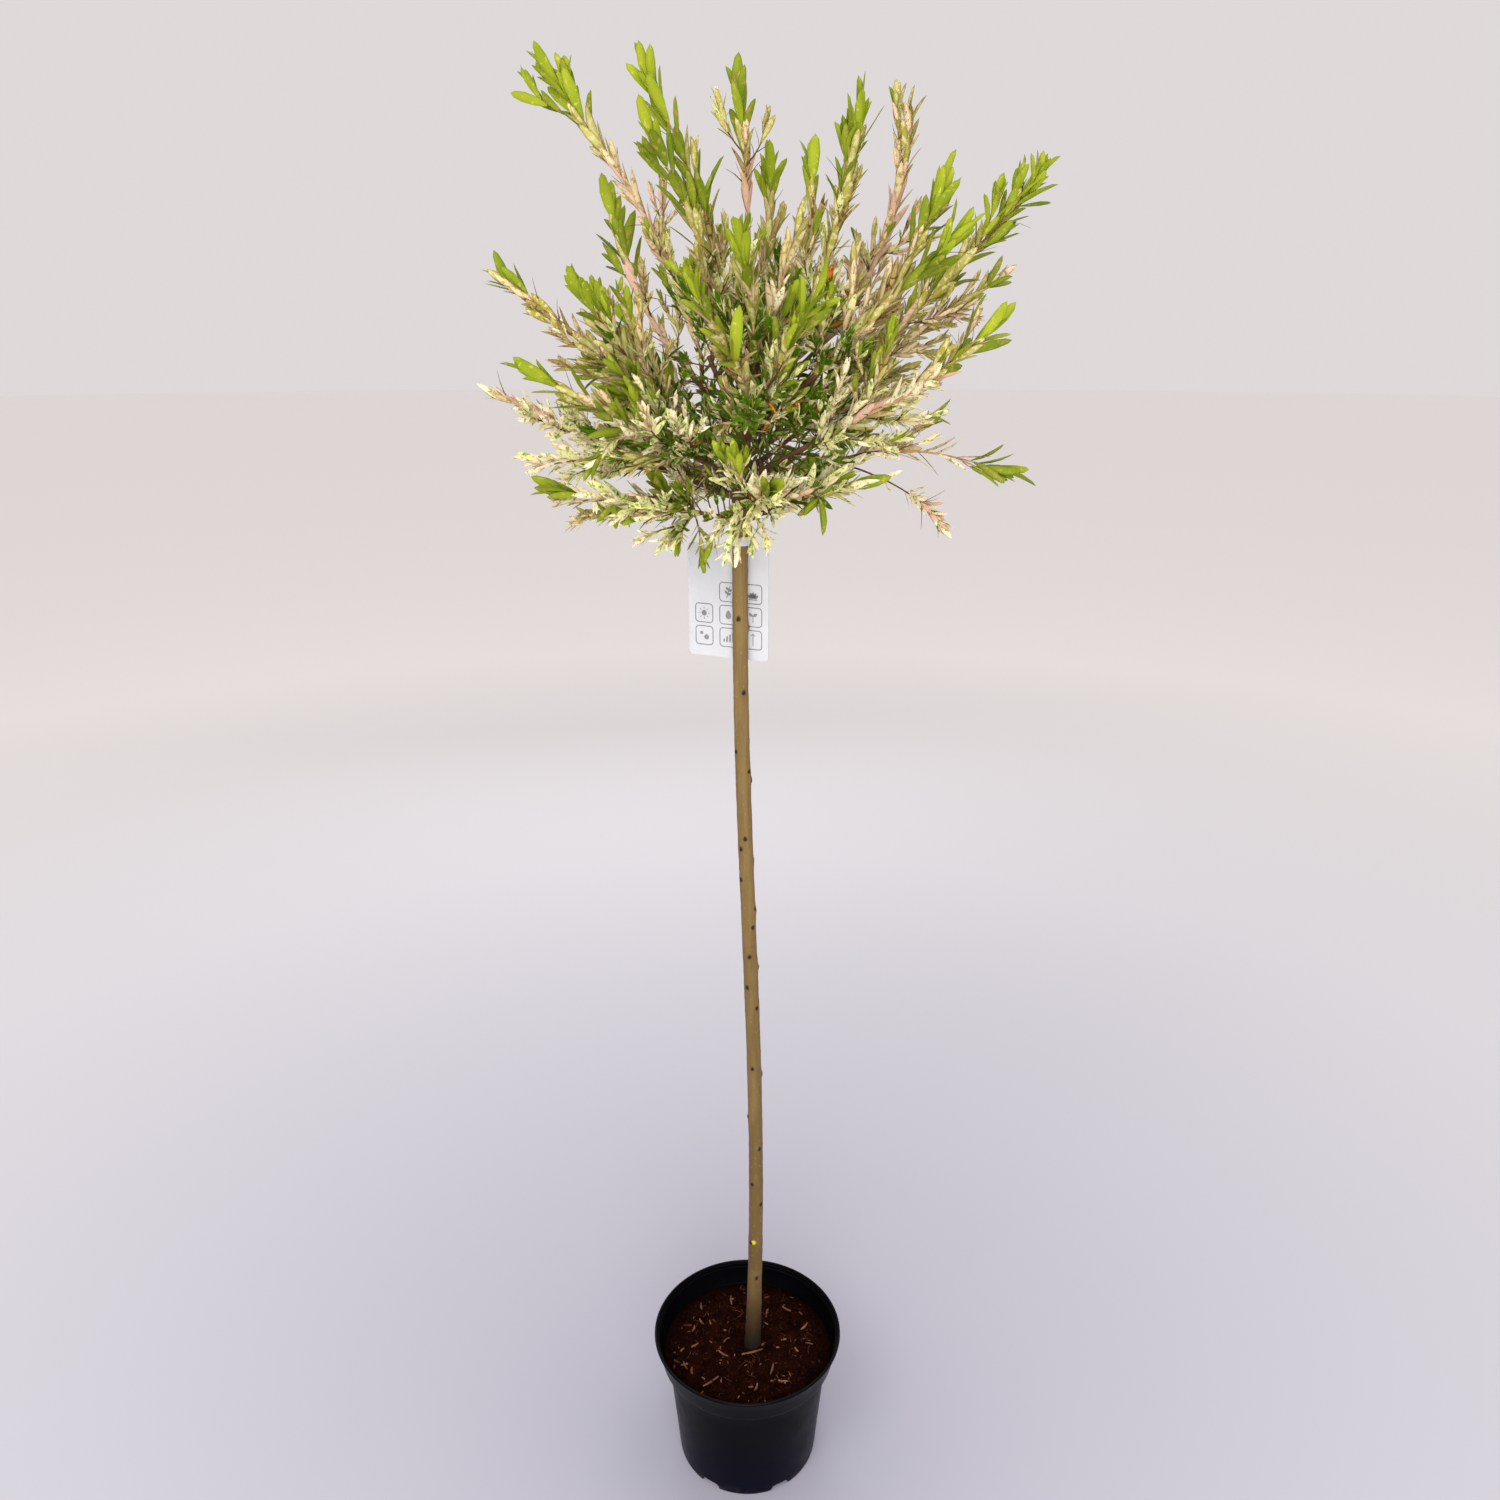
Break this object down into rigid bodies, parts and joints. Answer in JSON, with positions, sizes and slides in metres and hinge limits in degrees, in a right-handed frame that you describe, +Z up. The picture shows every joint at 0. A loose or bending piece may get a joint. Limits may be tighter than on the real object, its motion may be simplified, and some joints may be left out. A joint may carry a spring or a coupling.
{
  "type": "potted dappled willow standard",
  "caption": "Small willow grafted on a tall bare stem, with an open round head of cream, green and pink-tinged leaves, standing in a round black plastic pot of compost.",
  "frame": {"origin": "centre of the pot's flat underside", "axes": "+Z up along the stem, -Y towards the viewer of the picture, +X to that viewer's right"},
  "size_m": [0.446, 0.3389, 1.3146],
  "materials": {
    "pot": "moulded, slightly glossy black",
    "compost": "damp fibre and bark crumbs",
    "bark": "smooth young bark with bud scars",
    "twig": "smooth bark",
    "foliage": "soft thin leaves",
    "card": "smooth printed card"
  },
  "bodies": {
    "root": {"pot": "pot", "compost": "compost", "trunk": "bark", "label_card": "card", "bough_left_high": "twig", "foliage_left_high": "foliage", "bough_crest_left": "twig", "foliage_crest_left": "foliage", "bough_crest_centre": "twig", "foliage_crest_centre": "foliage", "bough_crest_right": "twig", "foliage_crest_right": "foliage", "bough_right_high": "twig", "foliage_right_high": "foliage", "bough_right_front_high": "twig", "foliage_right_front_high": "foliage", "bough_right_far": "twig", "foliage_right_far": "foliage", "bough_right_mid": "twig", "foliage_right_mid": "foliage", "bough_right_low": "twig", "foliage_right_low": "foliage", "bough_right_low_front": "twig", "foliage_right_low_front": "foliage", "bough_left_mid": "twig", "foliage_left_mid": "foliage", "bough_left_low": "twig", "foliage_left_low": "foliage", "bough_left_front": "twig", "foliage_left_front": "foliage", "bough_left_low_front": "twig", "foliage_left_low_front": "foliage", "bough_front_crest": "twig", "foliage_front_crest": "foliage", "bough_front_mid": "twig", "foliage_front_mid": "foliage", "bough_front_low": "twig", "foliage_front_low": "foliage", "bough_back_high": "twig", "foliage_back_high": "foliage", "bough_back_right": "twig", "foliage_back_right": "foliage", "bough_back_left": "twig", "foliage_back_left": "foliage", "bough_back_low": "twig", "foliage_back_low": "foliage"}
  },
  "joints": []
}
